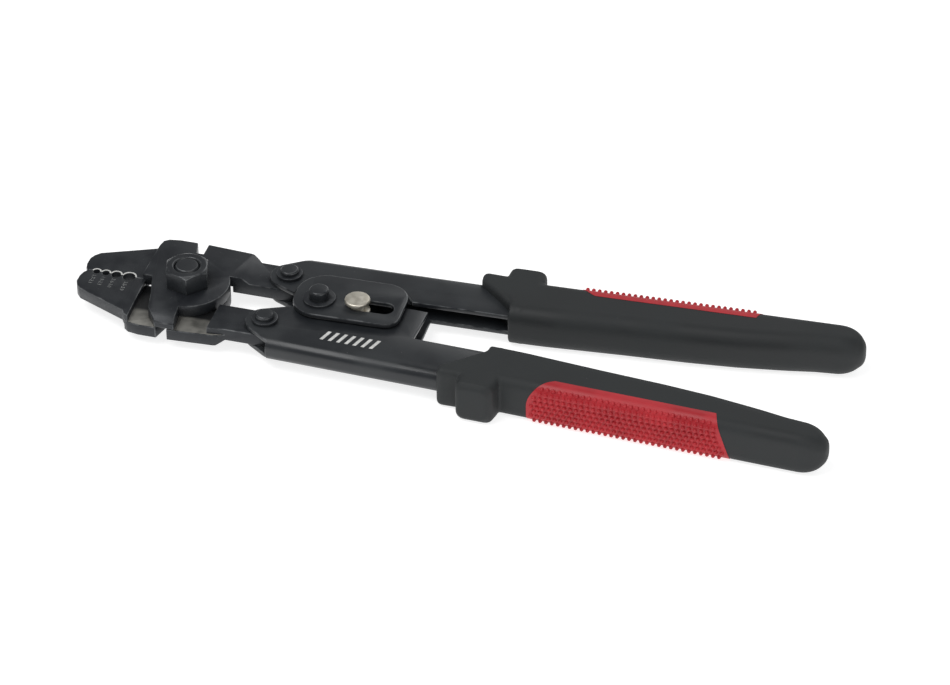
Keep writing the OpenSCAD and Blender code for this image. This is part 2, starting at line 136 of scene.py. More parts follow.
class Shader:
    """A material under construction, round one Principled node."""

    def __init__(self, name: str) -> None:
        """Starts an empty material called name."""
        self.material = bpy.data.materials.new(name)
        self.material.use_nodes = True
        self.tree = self.material.node_tree
        self.surface = self.tree.nodes["Principled BSDF"]
        self.place = self.tree.nodes.new("ShaderNodeTexCoord").outputs["Object"]

    def node(self, kind: str, settings: dict, inputs: dict) -> bpy.types.Node:
        """Adds one node.

        Args:
            kind: the node's type.
            settings: its own settings, which are set first.
            inputs: a value, a socket or a Tone for each input, by name or number.

        Returns:
            The node.
        """
        node = self.tree.nodes.new(kind)
        for key, value in settings.items():
            setattr(node, key, value)
        for key, value in inputs.items():
            self.feed(node.inputs[key], value)
        return node

    def feed(self, socket: bpy.types.NodeSocket, value: object) -> None:
        """Links or sets one input socket."""
        if isinstance(value, Tone):
            value = value.socket
        if isinstance(value, bpy.types.NodeSocket):
            self.tree.links.new(value, socket)
        else:
            socket.default_value = value

    def noise(self, size: float, detail: float = 4.0, stretch: Sequence[float] = (1, 1, 1)) -> Tone:
        """Cloudy noise.

        Args:
            size: the size of one cloud in metres.
            detail: how many finer layers it has.
            stretch: how much longer the clouds are along each axis.

        Returns:
            A tone from 0 to 1.
        """
        scale = tuple(1 / s for s in stretch)
        place = self.node("ShaderNodeMapping", {}, {"Vector": self.place, "Scale": scale})
        inputs = {"Vector": place.outputs[0], "Scale": 1 / size, "Detail": detail}
        return Tone(self, self.node("ShaderNodeTexNoise", {}, inputs).outputs[0])

    def across(self) -> Tone:
        """Distance from the centre line towards the upper handle's side, in metres."""
        axes = self.node("ShaderNodeSeparateXYZ", {}, {0: self.place})
        return Tone(self, axes.outputs[1])

    def mix(self, mask: Tone, low: object, high: object) -> bpy.types.NodeSocket:
        """Blends two colours by mask and returns the colour's socket."""
        node = self.node("ShaderNodeMix", {"data_type": "RGBA"}, {0: mask, 6: low, 7: high})
        return node.outputs[2]

    def bump(self, height: Tone, depth: float) -> None:
        """Raises the surface by height times depth, in metres."""
        inputs = {"Height": height, "Strength": 1.0, "Distance": depth}
        self.feed(self.surface.inputs["Normal"], self.node("ShaderNodeBump", {}, inputs).outputs[0])

    def set(self, **values: object) -> None:
        """Sets the surface's inputs; an underscore in a name stands for a space."""
        for name, value in values.items():
            self.feed(self.surface.inputs[name.replace("_", " ")], value)


@dataclass(frozen=True)
class Finish:
    """What one surface is made of and how it has worn.

    Colours are linear. Clouds are soft changes of tone over millimetres, and grain is the fine surface.
    A ground surface turns near black on the upper side of a line across the tool, at dark_from: partly the
    unground oxide, partly painted shade where the floor lies under the walls beside it.
    """

    name: str
    colour: Colour
    cloud_colour: Colour
    cloud: float = 6 * MM
    rough: tuple[float, float] = (0.35, 0.5)
    metallic: float = 0.0
    specular: float = 0.5
    grain: float = 0.3 * MM
    grain_depth: float = 0.004 * MM
    stretch: tuple[float, float, float] = (1, 1, 1)
    fleck_colour: Colour | None = None
    fleck: float = 0.5 * MM
    fleck_from: float = 0.7
    dark_from: float | None = None

    def make(self) -> bpy.types.Material:
        """Builds the material.

        Returns:
            The finished material.
        """
        shader = Shader(self.name)
        clouds = shader.noise(self.cloud, 5.0).between(0.35, 0.68)
        grain = shader.noise(self.grain, 3.0, self.stretch)
        colour = shader.mix(clouds, self.colour, self.cloud_colour)
        rough = clouds * (self.rough[1] - self.rough[0]) + self.rough[0] + (grain - 0.5) * 0.08
        if self.fleck_colour:
            flecks = shader.noise(self.fleck, 2.0).between(self.fleck_from, self.fleck_from + 0.05)
            colour = shader.mix(flecks, colour, self.fleck_colour)
        metallic: float | Tone = self.metallic
        # Past dark_from the floor turns near black: unground oxide together with painted shade under the
        # walls.
        if self.dark_from is not None:
            black = shader.across().between(self.dark_from, self.dark_from + 2.5 * MM)
            colour = shader.mix(black, colour, OXIDE_AND_SHADE)
            metallic = (1 - black) * self.metallic
        shader.bump(grain, self.grain_depth)
        shader.set(Base_Color=colour, Roughness=rough)
        shader.set(Metallic=metallic, Specular_IOR_Level=self.specular)
        return shader.material


class Surface(Enum):
    """The finishes on the tool. The first ones carry the names of the record's material slots."""

    OXIDE = "black_oxide"
    STEEL = "black_steel"
    RUBBER = "black_rubber"
    RED = "red_rubber"
    BRIGHT = "bright_steel"
    WORN = "worn_edge"
    GROUND = "ground_steel"
    RUBBED = "rim_wear_and_highlight"
    CUT = "cut_numbers"
    PRINT = "printed_mark"


FINISHES: dict[Surface, Finish] = {
    Surface.OXIDE: Finish(
        "black_oxide", (0.016, 0.018, 0.022, 1), (0.026, 0.029, 0.033, 1),
        cloud=7 * MM, rough=(0.34, 0.5), metallic=0.25, grain=0.35 * MM, grain_depth=0.006 * MM,
        fleck_colour=(0.09, 0.095, 0.1, 1), fleck=0.6 * MM, fleck_from=0.72,
    ),
    Surface.STEEL: Finish(
        "black_paint", (0.015, 0.017, 0.020, 1), (0.023, 0.026, 0.029, 1),
        cloud=14 * MM, rough=(0.30, 0.44), grain=0.5 * MM, grain_depth=0.005 * MM,
        fleck_colour=(0.16, 0.16, 0.15, 1), fleck=0.8 * MM, fleck_from=0.765,
    ),
    Surface.WORN: Finish(
        "worn_edge", (0.030, 0.033, 0.037, 1), (0.13, 0.135, 0.14, 1),
        cloud=3.5 * MM, rough=(0.28, 0.42), metallic=0.5, grain=0.2 * MM,
    ),
    # Hub floor: bare ground steel, near black past dark_from as unground oxide and painted shade.
    Surface.GROUND: Finish(
        "ground_steel", (0.23, 0.225, 0.205, 1), (0.36, 0.35, 0.32, 1),
        cloud=5 * MM, rough=(0.32, 0.48), metallic=0.85, grain=0.1 * MM, grain_depth=0.006 * MM,
        stretch=(12, 1, 1), dark_from=-14.5 * MM,
    ),
    Surface.RUBBER: Finish(
        "black_rubber", (0.017, 0.019, 0.020, 1), (0.024, 0.027, 0.028, 1),
        cloud=18 * MM, rough=(0.56, 0.7), specular=0.4, grain=0.32 * MM, grain_depth=0.03 * MM,
        fleck_colour=(0.2, 0.2, 0.19, 1), fleck=0.55 * MM, fleck_from=0.785,
    ),
    Surface.RED: Finish(
        "red_rubber", (0.42, 0.014, 0.022, 1), (0.52, 0.024, 0.034, 1),
        cloud=9 * MM, rough=(0.42, 0.56), specular=0.45, grain=0.25 * MM, grain_depth=0.012 * MM,
    ),
    Surface.BRIGHT: Finish(
        "bright_steel", (0.60, 0.56, 0.47, 1), (0.74, 0.70, 0.61, 1),
        cloud=2 * MM, rough=(0.3, 0.46), metallic=0.8, grain=0.12 * MM, grain_depth=0.004 * MM,
        stretch=(5, 1, 1),
    ),
    # Groove rims: rubbed steel, lifted far past bare steel as a painted highlight along the edge.
    Surface.RUBBED: Finish(
        "rim_wear_and_highlight", (0.70, 0.70, 0.67, 1), (0.86, 0.86, 0.83, 1),
        cloud=0.8 * MM, rough=(0.3, 0.42), metallic=0.3, grain=0.12 * MM,
    ),
    Surface.CUT: Finish(
        "cut_numbers", (0.19, 0.195, 0.195, 1), (0.33, 0.335, 0.33, 1),
        cloud=1 * MM, rough=(0.45, 0.6), metallic=0.4, grain=0.15 * MM,
    ),
    Surface.PRINT: Finish(
        "white_print", (0.62, 0.62, 0.6, 1), (0.75, 0.75, 0.73, 1),
        cloud=2 * MM, rough=(0.5, 0.6), grain=0.2 * MM,
    ),
}


class Palette:
    """Makes each finish once."""

    def __init__(self) -> None:
        """Starts with nothing made."""
        self.made: dict[Surface, bpy.types.Material] = {}

    def __getitem__(self, surface: Surface) -> bpy.types.Material:
        """The material of one surface."""
        if surface not in self.made:
            self.made[surface] = FINISHES[surface].make()
        return self.made[surface]


# ---------- bench ----------


class Bench:
    """Modelling steps that every piece shares."""

    @staticmethod
    def clear() -> None:
        """Leaves edit mode and deselects everything."""
        if bpy.context.object and bpy.context.object.mode != "OBJECT":
            bpy.ops.object.mode_set(mode="OBJECT")
        bpy.ops.object.select_all(action="DESELECT")

    @classmethod
    def hold(cls, piece: bpy.types.Object) -> None:
        """Makes piece the only selected and active object."""
        cls.clear()
        piece.select_set(True)
        bpy.context.view_layer.objects.active = piece

    @classmethod
    def finish(cls, piece: bpy.types.Object, smooth_angle: float) -> None:
        """Applies piece's modifiers in order and shades it smooth up to an angle.

        Args:
            piece: the object.
            smooth_angle: edges sharper than this many degrees stay sharp.
        """
        cls.hold(piece)
        for modifier in list(piece.modifiers):
            bpy.ops.object.modifier_apply(modifier=modifier.name)
        bpy.ops.object.shade_smooth_by_angle(angle=math.radians(smooth_angle))

    @classmethod
    def paint(cls, piece: bpy.types.Object, *materials: bpy.types.Material) -> None:
        """Gives piece its materials, in the order of their numbers on its faces."""
        piece.data.materials.clear()
        for material in materials:
            piece.data.materials.append(material)

    @classmethod
    def loft(cls, name: str, rings: Sequence[Sequence[Vector]]) -> bpy.types.Object:
        """A closed form drawn out ring by ring.

        Args:
            name: the new object's name.
            rings: rings of equally many points, the first and the last closed by a face.

        Returns:
            The object, with its place in its mesh.
        """
        cls.clear()
        count = len(rings[0])
        bpy.ops.mesh.primitive_circle_add(vertices=count, radius=MM, fill_type="NGON")
        piece = bpy.context.object
        piece.name = piece.data.name = name
        bpy.ops.object.mode_set(mode="EDIT")
        bpy.ops.mesh.select_all(action="SELECT")
        mesh = bmesh.from_edit_mesh(piece.data)
        for vertex, point in zip(list(mesh.verts), rings[0]):
            vertex.co = point
        for before, ring in zip(rings, rings[1:]):
            bpy.ops.mesh.extrude_region_move()
            mesh = bmesh.from_edit_mesh(piece.data)
            places = {tuple(round(c / MM, 4) for c in point): new for point, new in zip(before, ring)}
            for vertex in [v for v in mesh.verts if v.select]:
                vertex.co = places[tuple(round(c / MM, 4) for c in vertex.co)]
        bmesh.update_edit_mesh(piece.data)
        bpy.ops.mesh.select_all(action="SELECT")
        bpy.ops.mesh.normals_make_consistent(inside=False)
        bpy.ops.object.mode_set(mode="OBJECT")
        return piece

    @classmethod
    def prism(cls, name: str, outline: Sequence[Sequence[float]], low: float, high: float,
              bevel: float = 0.0) -> bpy.types.Object:
        """An outline drawn up between two heights, with rounded edges.

        Args:
            name: the new object's name.
            outline: points in the XY plane, in metres.
            low: the lower height.
            high: the upper height.
            bevel: the radius of its edges, or 0 for sharp ones.

        Returns:
            The object.
        """
        rings = [[Vector((x, y, z)) for x, y in outline] for z in (low, high)]
        piece = cls.loft(name, rings)
        if bevel:
            rounding = piece.modifiers.new("rounding", "BEVEL")
            rounding.width = bevel
            rounding.segments = 3
            rounding.limit_method = "ANGLE"
            rounding.angle_limit = math.radians(25)
            cls.hold(piece)
            bpy.ops.object.modifier_apply(modifier=rounding.name)
        return piece

    @classmethod
    def moulded(cls, name: str, pieces: Sequence[bpy.types.Object], grid: float,
                passes: int) -> bpy.types.Object:
        """Runs pieces into one moulded skin.

        Args:
            name: the name of the result.
            pieces: closed forms that overlap.
            grid: the fineness of the skin in metres.
            passes: how many times the skin is smoothed.

        Returns:
            The skin.
        """
        cls.hold(pieces[0])
        for piece in pieces[1:]:
            piece.select_set(True)
        bpy.ops.object.join()
        skin = bpy.context.object
        skin.name = skin.data.name = name
        remesh = skin.modifiers.new("skin", "REMESH")
        remesh.mode = "VOXEL"
        remesh.voxel_size = grid
        smooth = skin.modifiers.new("smooth", "SMOOTH")
        smooth.factor = 0.5
        smooth.iterations = passes
        cls.finish(skin, 80)
        return skin


@dataclass
class Layout:
    """Where the frame's pivots and levels lie, in metres."""

    frame: dict
    splay: float = math.radians(1.85)
    handle_pivot: Vector = field(init=False)
    jaw_pivot: Vector = field(init=False)
    mid: float = field(init=False)

    def __post_init__(self) -> None:
        """Reads the pivots from the pieces that stand on them."""
        low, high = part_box("upper_grip")
        self.mid = (low.z + high.z) / 2
        self.handle_pivot = self._middle("centre_washer")
        self.jaw_pivot = self._middle("pivot_nut")

    def _middle(self, node: str) -> Vector:
        """The middle of a node in plan, on the mid plane."""
        low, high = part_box(node)
        return Vector(((low.x + high.x) / 2, (low.y + high.y) / 2, self.mid))

    def on_handle(self, upper: bool) -> Matrix:
        """Takes a handle's own frame to the tool's; the lower handle is the upper one turned over."""
        turn = Matrix.Rotation(self.splay, 4, "Z")
        if not upper:
            turn = Matrix.Rotation(math.pi, 4, "X") @ turn
        return Matrix.Translation(self.handle_pivot) @ turn

    def on_jaw(self, upper: bool) -> Matrix:
        """Takes a jaw's own frame, about the jaw pivot, to the tool's."""
        turn = Matrix.Identity(4) if upper else Matrix.Rotation(math.pi, 4, "X")
        return Matrix.Translation(self.jaw_pivot) @ turn


# ---------- steel ----------


@dataclass
class SteelPiece:
    """A steel piece of the frame with its edges rounded and worn."""

    node: str
    body: str
    surface: Surface
    edge: float = 0.25 * MM
    edge_surface: Surface = Surface.WORN
    smooth: float = 32.0

    def build(self, layout: Layout, palette: Palette,
              bare: Callable[[Vector, Vector], bool] | None = None) -> bpy.types.Object:
        """Copies the frame's piece, rounds its edges and dresses it.

        Args:
            layout: the frame's pivots and nodes.
            palette: the finishes.
            bare: says of a face's middle and normal whether it is ground bare.

        Returns:
            The rounded piece, which stands for the frame's own.
        """
        piece = bpy.data.objects.new(f"{self.node}_body", layout.frame["nodes"][self.node].data.copy())
        bpy.context.scene.collection.objects.link(piece)
        Bench.paint(piece, palette[self.surface], palette[self.edge_surface], palette[Surface.GROUND])
        Bench.hold(piece)
        bpy.ops.object.mode_set(mode="EDIT")
        bpy.ops.mesh.select_all(action="SELECT")
        bpy.ops.mesh.customdata_custom_splitnormals_clear()
        bpy.ops.mesh.remove_doubles(threshold=0.002 * MM)
        bpy.ops.mesh.dissolve_limited(angle_limit=math.radians(0.5))
        bpy.ops.object.mode_set(mode="OBJECT")
        for face in piece.data.polygons:
            face.material_index = 2 if bare and bare(face.center, face.normal) else 0
        self.mark_edges(piece)
        rounding = piece.modifiers.new("rounding", "BEVEL")
        rounding.width = self.edge
        rounding.segments = 2
        rounding.limit_method = "WEIGHT"
        rounding.use_clamp_overlap = False
        rounding.material = 1
        Bench.finish(piece, self.smooth)
        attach(piece, self.body)
        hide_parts(self.node)
        return piece


    def mark_edges(self, piece: bpy.types.Object) -> None:
        """Marks the outer edges that get rounded; inner corners stay sharp, as a cutter leaves them.

        Args:
            piece: the object whose edges get their bevel weight.
        """
        mesh = bmesh.new()
        mesh.from_mesh(piece.data)
        weight = mesh.edges.layers.float.new("bevel_weight_edge")
        limit = math.radians(self.smooth + 4)
        for edge in mesh.edges:
            outer = edge.is_manifold and edge.is_convex and edge.calc_face_angle() > limit
            edge[weight] = 1.0 if outer else 0.0
        mesh.to_mesh(piece.data)
        mesh.free()


@dataclass
class JawPair:
    """Both jaws, with bare hub floors, groove rims rubbed bare and brightened as a painted highlight, and
    the size numbers on the lower nose.
    """

    nose_reach: float = 35.1 * MM
    nose_half: float = 2.1 * MM
    grooves: tuple[tuple[float, float], ...] = (
        (4.5 * MM, 2.1 * MM), (7.6 * MM, 2.3 * MM), (11.1 * MM, 3.0 * MM), (15.4 * MM, 3.9 * MM),
    )
    rim: float = 0.5 * MM
    rim_gap: float = 0.02 * MM
    rim_start: float = 0.12
    rim_steps: int = 16
    relief: float = 0.02 * MM
    number_size: float = 1.75 * MM
    number_span: float = 0.4 * MM
    number_gap: float = 0.9 * MM

    def build(self, layout: Layout, palette: Palette) -> None:
        """Builds both jaws and the numbers."""
        for node in ("upper_jaw", "lower_jaw"):
            jaw = SteelPiece(node, node, Surface.OXIDE, edge=0.28 * MM, smooth=40.0)
            jaw.build(layout, palette, lambda at, normal: self.is_bare(layout, at, normal))
            log.info("%s rounded, with a bare hub floor", node)
        self.rims(layout, palette)
        self.numbers(layout, palette)

    def is_bare(self, layout: Layout, at: Vector, normal: Vector) -> bool:
        """Whether a face at a place was ground after blackening, as the floor of a hub was."""
        return abs(normal.z) > 0.9 and abs(at.z - layout.mid) < 0.1 * MM

    def rims(self, layout: Layout, palette: Palette) -> None:
        """Paints the rim of each groove on the upper jaw as a thin bright half ring: rubbed bare steel,
        made much brighter as a painted highlight.
        """
        top = layout.mid + self.nose_half
        sweep = math.pi - 2 * self.rim_start
        angles = [self.rim_start + sweep * i / self.rim_steps for i in range(self.rim_steps + 1)]
        for index, (reach, bore) in enumerate(self.grooves):
            x = layout.jaw_pivot.x - self.nose_reach + reach
            y = layout.jaw_pivot.y
            outline = []
            for radius, turn in ((bore / 2 + self.rim, 1), (bore / 2 + self.rim_gap, -1)):
                outline += [(x + radius * math.cos(a), y + radius * math.sin(a)) for a in angles[::turn]]
            rim = Bench.prism(f"groove_rim_{index + 1}", outline, top - 0.05 * MM, top + self.relief)
            # The rim's colour is a painted highlight on rubbed steel.
            Bench.paint(rim, palette[Surface.RUBBED])
            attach(rim, "upper_jaw")
            log.info("groove rim %s", index + 1)

    def numbers(self, layout: Layout, palette: Palette) -> None:
        """Cuts the range of bores that each groove serves beside it, reading across the nose."""
        for index, (reach, bore) in enumerate(self.grooves):
            Bench.clear()
            bpy.ops.object.text_add()
            label = bpy.context.object
            label.name = f"die_number_{index + 1}"
            label.data.body = f"{(bore - self.number_span) / MM:.1f}-{bore / MM:.1f}"
            label.data.size = self.number_size
            label.data.extrude = self.relief
            label.data.align_x = "LEFT"
            label.data.align_y = "CENTER"
            bpy.ops.object.convert(target="MESH")
            x = layout.jaw_pivot.x - self.nose_reach + reach
            y = layout.jaw_pivot.y - bore / 2 - self.number_gap
            place = Matrix.Translation((x, y, layout.mid + self.nose_half))
            label.data.transform(place @ Matrix.Rotation(-math.pi / 2, 4, "Z"))
            Bench.paint(label, palette[Surface.CUT])
            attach(label, "lower_jaw")
            log.info("die number %s", index + 1)


# ---------- grips ----------


@dataclass
class GripShape:
    """The moulded sheath's own sizes, in the frame of its handle, whose origin is the handle pivot."""

    half: float = 7.1 * MM
    reach: float = 169.8 * MM
    web: float = 24.2 * MM
    collar: float = 46.5 * MM
    guard: float = 54.5 * MM
    guard_width: float = 11.5 * MM
    guard_out: float = 30.6 * MM
    collar_out: float = 25.7 * MM
    corner: float = 3.2 * MM
    swell: float = 0.4 * MM
    slope: float = 0.013
    inner_edge: tuple[tuple[float, float], ...] = (
        (58.0, 5.9), (69.5, 6.1), (95.5, 7.7), (115.8, 8.7), (130.8, 9.9), (145.8, 11.9), (158.0, 14.0),
    )
    shoulder: float = 160.5 * MM
    inner_corner: float = 4.6 * MM
    end_power: float = 2.2

    def outer(self, x: float) -> float:
        """The sheath's outer edge at distance x from the handle pivot."""
        return self.web + self.swell + self.slope * (x - self.guard - self.guard_width)

    def inner(self, x: float) -> float:
        """The sheath's inner edge at distance x from the handle pivot."""
        table = self.inner_edge
        x_mm = min(max(x / MM, table[0][0]), table[-1][0])
        for (x0, y0), (x1, y1) in zip(table, table[1:]):
            if x_mm <= x1:
                return (y0 + (y1 - y0) * (x_mm - x0) / (x1 - x0)) * MM
        return table[-1][1] * MM

    def section(self, x: float) -> tuple[float, float, float, float]:
        """Inner edge, outer edge, half height and corner radius at distance x."""
        low, high = self.inner(x), self.outer(x)
        half, corner = self.half, self.corner
        if x > self.shoulder:
            share = min((x - self.shoulder) / (self.reach - self.shoulder), 1.0)
            fall = max(1 - share**self.end_power, 0.0) ** (1 / self.end_power)
            middle = (low + high) / 2 + 0.3 * MM * share
            width = (high - low) / 2 * fall + 0.5 * MM * (1 - fall)
            low, high = middle - width, middle + width
            half = self.half * (0.2 + 0.8 * fall)
            corner = min(corner, width * 0.98, half * 0.98)
        return low, high, half, corner

    def ring(self, x: float, steps: int = 6) -> list[Vector]:
        """Points round the sheath's section at distance x."""
        low, high, half, outer_corner = self.section(x)
        inner_corner = min(self.inner_corner, (high - low) - outer_corner, half * 0.98)
        points = []
        for quarter in range(4):
            corner = outer_corner if quarter in (0, 3) else inner_corner
            y = high - corner if quarter in (0, 3) else low + corner
            z = half - corner if quarter in (0, 1) else corner - half
            for step in range(steps + 1):
                angle = math.pi / 2 * (quarter + step / steps)
                points.append(Vector((x, y + corner * math.cos(angle), z + corner * math.sin(angle))))
        return points


@dataclass
class Grip:
    """One moulded grip with its collar and finger guard."""

    upper: bool
    shape: GripShape = field(default_factory=GripShape)
    grid: float = 0.42 * MM
    root: float = 20 * MM
    guard_corner: float = 2.4 * MM
    guard_shrink: float = 1.5 * MM

    @property
    def side(self) -> str:
        """The side's name."""
        return "upper" if self.upper else "lower"

    def stations(self) -> list[float]:
        """Distances of the body's rings, closer together towards its round end."""
        straight = [x * MM for x in range(59, 156, 4)]
        span = self.shape.reach - self.shape.shoulder
        turn = [self.shape.shoulder + span * math.sin(math.pi / 2 * i / 12) for i in range(13)]
        return straight + turn

    def collar(self) -> bpy.types.Object:
        """The band round the steel, whose front edge slants back towards the inner side."""
        top = self.shape.collar_out
        outline = [
            (46.5, top / MM), (46.7, 21.4), (49.6, 19.1), (52.6, 16.4), (60.7, 8.4), (61.9, 6.9),
            (66.5, 9.4), (66.5, 14), (64.5, 22.8), (57, 25.2),
        ]
        points = [(x * MM, y * MM) for x, y in outline]
        return Bench.prism("collar", points, -self.shape.half, self.shape.half, 1.9 * MM)

    def guard(self) -> bpy.types.Object:
        """The block that stops the finger, with rounded corners and sloping flanks."""
        shape = self.shape
        rings = []
        for share, spread in ((0.0, 1.2), (0.55, 0.9), (0.86, 0.25), (1.0, -1.3)):
            out = self.root + (shape.guard_out - self.root) * share
            front, back = shape.guard - spread * 0.5 * MM, shape.guard + shape.guard_width + spread * MM
            high = shape.half - (self.guard_shrink if share == 1.0 else 0.0)
            rings.append(self.guard_ring(out, front, back, high, self.guard_corner))
        return Bench.loft("guard", rings)

    @staticmethod
    def guard_ring(out: float, front: float, back: float, half: float, corner: float) -> list[Vector]:
        """Points round the guard at one distance from the handle's line."""
        points = []
        for quarter in range(4):
            x = back - corner if quarter in (0, 3) else front + corner
            z = half - corner if quarter in (0, 1) else corner - half
            for step in range(5):
                angle = math.pi / 2 * (quarter + step / 4)
                points.append(Vector((x + corner * math.cos(angle), out, z + corner * math.sin(angle))))
        return points

    def build(self, layout: Layout, palette: Palette) -> bpy.types.Object:
        """Moulds the grip and sets it on its handle.

        Args:
            layout: the frame's pivots.
            palette: the finishes.

        Returns:
            The grip.
        """
        body = Bench.loft("sheath", [self.shape.ring(x) for x in self.stations()])
        grip = Bench.moulded(f"{self.side}_sheath", [body, self.collar(), self.guard()], self.grid, 5)
        grip.data.transform(layout.on_handle(self.upper))
        Bench.paint(grip, palette[Surface.RUBBER])
        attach(grip, f"{self.side}_arm")
        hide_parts(f"{self.side}_grip")
        log.info("%s grip moulded", self.side)
        return grip


@dataclass
class Insert:
    """The red pad that wraps a grip's outer edge, and the studs on it."""

    upper: bool
    shape: GripShape = field(default_factory=GripShape)
    front: float = 83.7 * MM
    back: float = 134.8 * MM
    bulge: float = 8.0 * MM
    rake: float = 5.4 * MM
    cover: float = 4.5 * MM
    proud: float = 0.1 * MM
    thick: float = 1.3 * MM
    pitch: float = 1.9 * MM
    row_pitch: float = 1.72 * MM
    first_row: float = 4.0 * MM
    stud_radius: float = 0.68 * MM
    stud_height: float = 0.8 * MM
    stud_sides: int = 8
    stud_from: float = 1.6 * MM
    stud_to: float = 1.2 * MM
    columns: int = 56
    rows: int = 44

    @property
    def side(self) -> str:
        """The side's name."""
        return "upper" if self.upper else "lower"

    def girth(self) -> float:
        """The pad's width, measured over the edge from face to face."""
        flat = 2 * (self.cover - self.shape.corner)
        return flat + math.pi * self.shape.corner + 2 * (self.shape.half - self.shape.corner)

    def across(self, x: float, along: float) -> tuple[Vector, Vector]:
        """The place and outward normal at a distance along the pad's girth, from its upper face's edge."""
        shape, edge = self.shape, self.shape.outer(x)
        flat = self.cover - shape.corner
        quarter = math.pi / 2 * shape.corner
        wall = 2 * (shape.half - shape.corner)
        if along < flat:
            place, normal = (edge - self.cover + along, shape.half), (0, 1)
        elif along < flat + quarter:
            place, normal = self.corner_at(edge, 1, math.pi / 2 - (along - flat) / shape.corner)
        elif along < flat + quarter + wall:
            place, normal = (edge, shape.half - shape.corner - (along - flat - quarter)), (1, 0)
        elif along < flat + 2 * quarter + wall:
            place, normal = self.corner_at(edge, -1, -(along - flat - quarter - wall) / shape.corner)
        else:
            rest = along - flat - 2 * quarter - wall
            place, normal = (edge - shape.corner - rest, -shape.half), (0, -1)
        up = 1 if self.upper else -1
        return Vector((x, place[0], place[1] * up)), Vector((0, normal[0], normal[1] * up))

    def corner_at(self, edge: float, up: int, angle: float) -> tuple[tuple, tuple]:
        """The place and normal on one rounded long edge."""
        shape = self.shape
        normal = (math.cos(angle), math.sin(angle))
        centre = (edge - shape.corner, up * (shape.half - shape.corner))
        return (centre[0] + shape.corner * normal[0], centre[1] + shape.corner * normal[1]), normal

    def ends(self, along: float) -> tuple[float, float]:
        """Where the pad starts and stops at a distance along its girth."""
        share = along / self.girth()
        front = self.front - self.bulge * math.sin(math.pi / 2 * min(share / 0.55, 1.0)) ** 0.8
        back = self.back + self.rake * min(share / 0.75, 1.0)
        return front, back

    def pad(self) -> bpy.types.Object:
        """The pad itself: a sheet shaped over the edge and thickened inwards."""
        Bench.clear()
        bpy.ops.mesh.primitive_grid_add(x_subdivisions=self.columns, y_subdivisions=self.rows, size=2)
        pad = bpy.context.object
        pad.name = pad.data.name = f"{self.side}_pad"
        for vertex in pad.data.vertices:
            along = (1 - vertex.co.y) / 2 * self.girth()
            front, back = self.ends(along)
            x = front + (back - front) * (vertex.co.x + 1) / 2
            place, normal = self.across(x, along)
            vertex.co = place + normal * self.proud
        bpy.ops.object.mode_set(mode="EDIT")
        bpy.ops.mesh.select_all(action="SELECT")
        bpy.ops.mesh.normals_make_consistent(inside=False)
        bpy.ops.object.mode_set(mode="OBJECT")
        middle = pad.data.polygons[len(pad.data.polygons) // 2]
        if middle.normal.y < 0:
            pad.data.flip_normals()
        wall = pad.modifiers.new("wall", "SOLIDIFY")
        wall.thickness = self.thick
        wall.offset = -1
        Bench.finish(pad, 50)
        return pad

    def stud(self) -> bpy.types.Object:
        """One stud, standing on the origin along +Z."""
        radius, height = self.stud_radius, self.stud_height
        rings = []
        for width, level in ((1.1, -0.15), (1.0, 0.0), (0.86, 0.62), (0.5, 1.0)):
            turn = [math.pi * 2 * i / self.stud_sides for i in range(self.stud_sides)]
            rings.append([
                Vector((math.cos(a) * radius * width, math.sin(a) * radius * width, height * level))
                for a in turn
            ])
        return Bench.loft("stud", rings)

    def studs(self) -> bpy.types.Object:
        """All studs: rows along the pad, each shifted by half a pitch from the one before."""
        pattern = self.stud()
        mesh = bmesh.new()
        rows = int((self.girth() - 2 * self.first_row) / self.row_pitch) + 1
        for row in range(rows):
            along = self.first_row + row * self.row_pitch
            front, back = self.ends(along)
            x = front + self.stud_from + (row % 2) * self.pitch / 2
            while x < back - self.stud_to:
                place, normal = self.across(x, along)
                turn = normal.to_track_quat("Z", "Y").to_matrix().to_4x4()
                before = len(mesh.verts)
                mesh.from_mesh(pattern.data)
                mesh.verts.ensure_lookup_table()
                matrix = Matrix.Translation(place + normal * self.proud) @ turn
                bmesh.ops.transform(mesh, matrix=matrix, verts=mesh.verts[before:])
                x += self.pitch
        data = bpy.data.meshes.new(f"{self.side}_studs")
        mesh.to_mesh(data)
        mesh.free()
        bpy.data.objects.remove(pattern)
        studs = bpy.data.objects.new(f"{self.side}_studs", data)
        bpy.context.scene.collection.objects.link(studs)
        Bench.finish(studs, 60)
        return studs

    def build(self, layout: Layout, palette: Palette) -> None:
        """Makes the pad and its studs and sets them on the grip."""
        for piece in (self.pad(), self.studs()):
            piece.data.transform(layout.on_handle(self.upper))
            Bench.paint(piece, palette[Surface.RED])
            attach(piece, f"{self.side}_arm")
            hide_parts(f"{self.side}_grip_insert")
        log.info("%s insert studded", self.side)


@dataclass
class PrintedMark:
    """Plain slanted bars printed in white on the lower handle's flange."""

    start: float = 7.5 * MM
    inner: float = 12.6 * MM
    height: float = 4.6 * MM
    count: int = 7
    width: float = 1.1 * MM
    gap: float = 1.6 * MM
    slant: float = 1.4 * MM
    level: float = 3.7 * MM
    film: float = 0.015 * MM

    def build(self, layout: Layout, palette: Palette) -> None:
        """Prints the bars one after another along the flange."""
        foot, head = self.inner, self.inner + self.height
        bars = []
        for index in range(self.count):
            left = self.start + index * (self.width + self.gap)
            right = left + self.width
            outline = [(left, foot), (right, foot), (right - self.slant, head), (left - self.slant, head)]
            bars.append(Bench.prism("bar", outline, -self.level - self.film, -self.level))
        Bench.hold(bars[0])
        for bar in bars[1:]:
            bar.select_set(True)
        bpy.ops.object.join()
        mark = bpy.context.object
        mark.name = mark.data.name = "printed_bars"
        mark.data.transform(layout.on_handle(False))
        Bench.paint(mark, palette[Surface.PRINT])
        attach(mark, "lower_arm")
        log.info("printed bars")


# ---------- studio ----------


